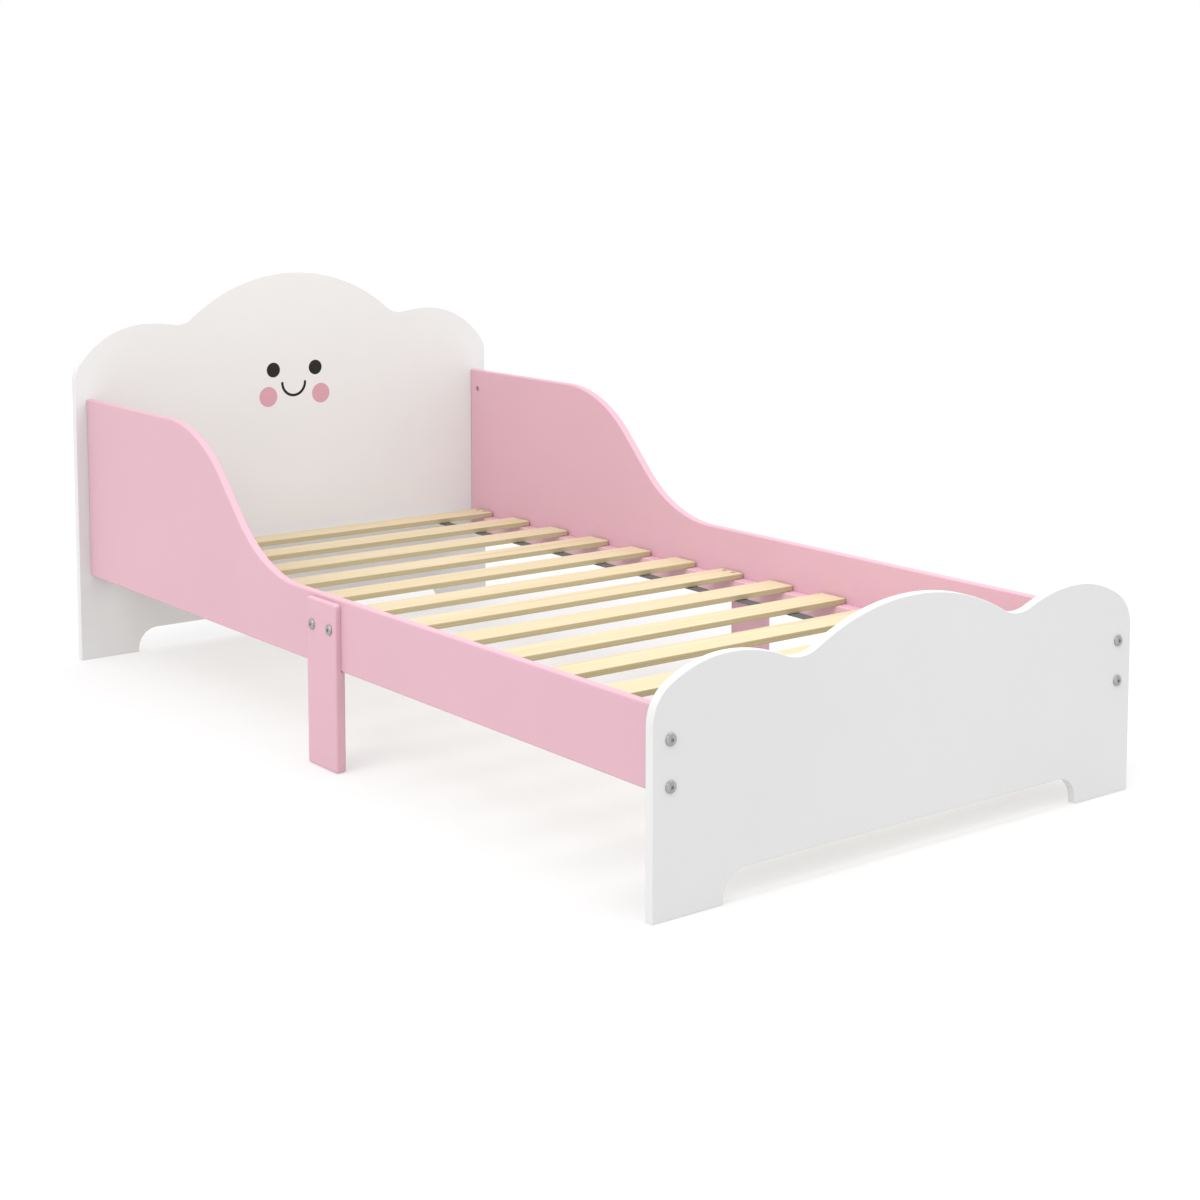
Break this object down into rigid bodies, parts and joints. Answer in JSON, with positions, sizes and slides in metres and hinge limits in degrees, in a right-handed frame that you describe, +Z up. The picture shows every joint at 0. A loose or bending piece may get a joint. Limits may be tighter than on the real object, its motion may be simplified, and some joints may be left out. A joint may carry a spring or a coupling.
{
  "type": "toddler bed",
  "caption": "Low toddler bed with cloud-topped head and foot boards, swept side rails with middle legs, and a slatted base held by webbing straps.",
  "frame": {"origin": "on the floor under the middle of the bed", "axes": "+X to the right seen from the foot, +Y towards the headboard, +Z up"},
  "size_m": [0.764, 1.4354, 0.593],
  "materials": {
    "white_paint": "satin paint on board",
    "pink_paint": "satin paint on board",
    "pine": "planed, unfinished",
    "webbing": "woven",
    "zinc": "satin zinc plate"
  },
  "bodies": {
    "root": {"footboard": "white_paint", "headboard": "white_paint", "left_side_rail": "pink_paint", "right_side_rail": "pink_paint", "left_slat_ledger": "pink_paint", "right_slat_ledger": "pink_paint", "left_middle_leg": "pink_paint", "right_middle_leg": "pink_paint", "slat_01": "pine", "slat_02": "pine", "slat_03": "pine", "slat_04": "pine", "slat_05": "pine", "slat_06": "pine", "slat_07": "pine", "slat_08": "pine", "slat_09": "pine", "slat_10": "pine", "slat_11": "pine", "slat_12": "pine", "slat_13": "pine", "left_slat_strap": "webbing", "right_slat_strap": "webbing", "bolt_foot_left_lower": "zinc", "bolt_foot_left_upper": "zinc", "bolt_head_left_lower": "zinc", "bolt_head_left_upper": "zinc", "bolt_foot_right_lower": "zinc", "bolt_foot_right_upper": "zinc", "bolt_head_right_lower": "zinc", "bolt_head_right_upper": "zinc", "bolt_leg_left_1": "zinc", "bolt_leg_left_2": "zinc", "bolt_leg_right_1": "zinc", "bolt_leg_right_2": "zinc", "barrel_nut_foot_left_lower": "zinc", "barrel_nut_foot_left_upper": "zinc", "barrel_nut_head_left_lower": "zinc", "barrel_nut_head_left_upper": "zinc", "barrel_nut_foot_right_lower": "zinc", "barrel_nut_foot_right_upper": "zinc", "barrel_nut_head_right_lower": "zinc", "barrel_nut_head_right_upper": "zinc", "slat_01_screw_left_1": "zinc", "slat_01_screw_left_2": "zinc", "slat_01_screw_right_1": "zinc", "slat_01_screw_right_2": "zinc", "slat_07_screw_left_1": "zinc", "slat_07_screw_left_2": "zinc", "slat_07_screw_right_1": "zinc", "slat_07_screw_right_2": "zinc", "slat_13_screw_left_1": "zinc", "slat_13_screw_left_2": "zinc", "slat_13_screw_right_1": "zinc", "slat_13_screw_right_2": "zinc"}
  },
  "joints": []
}
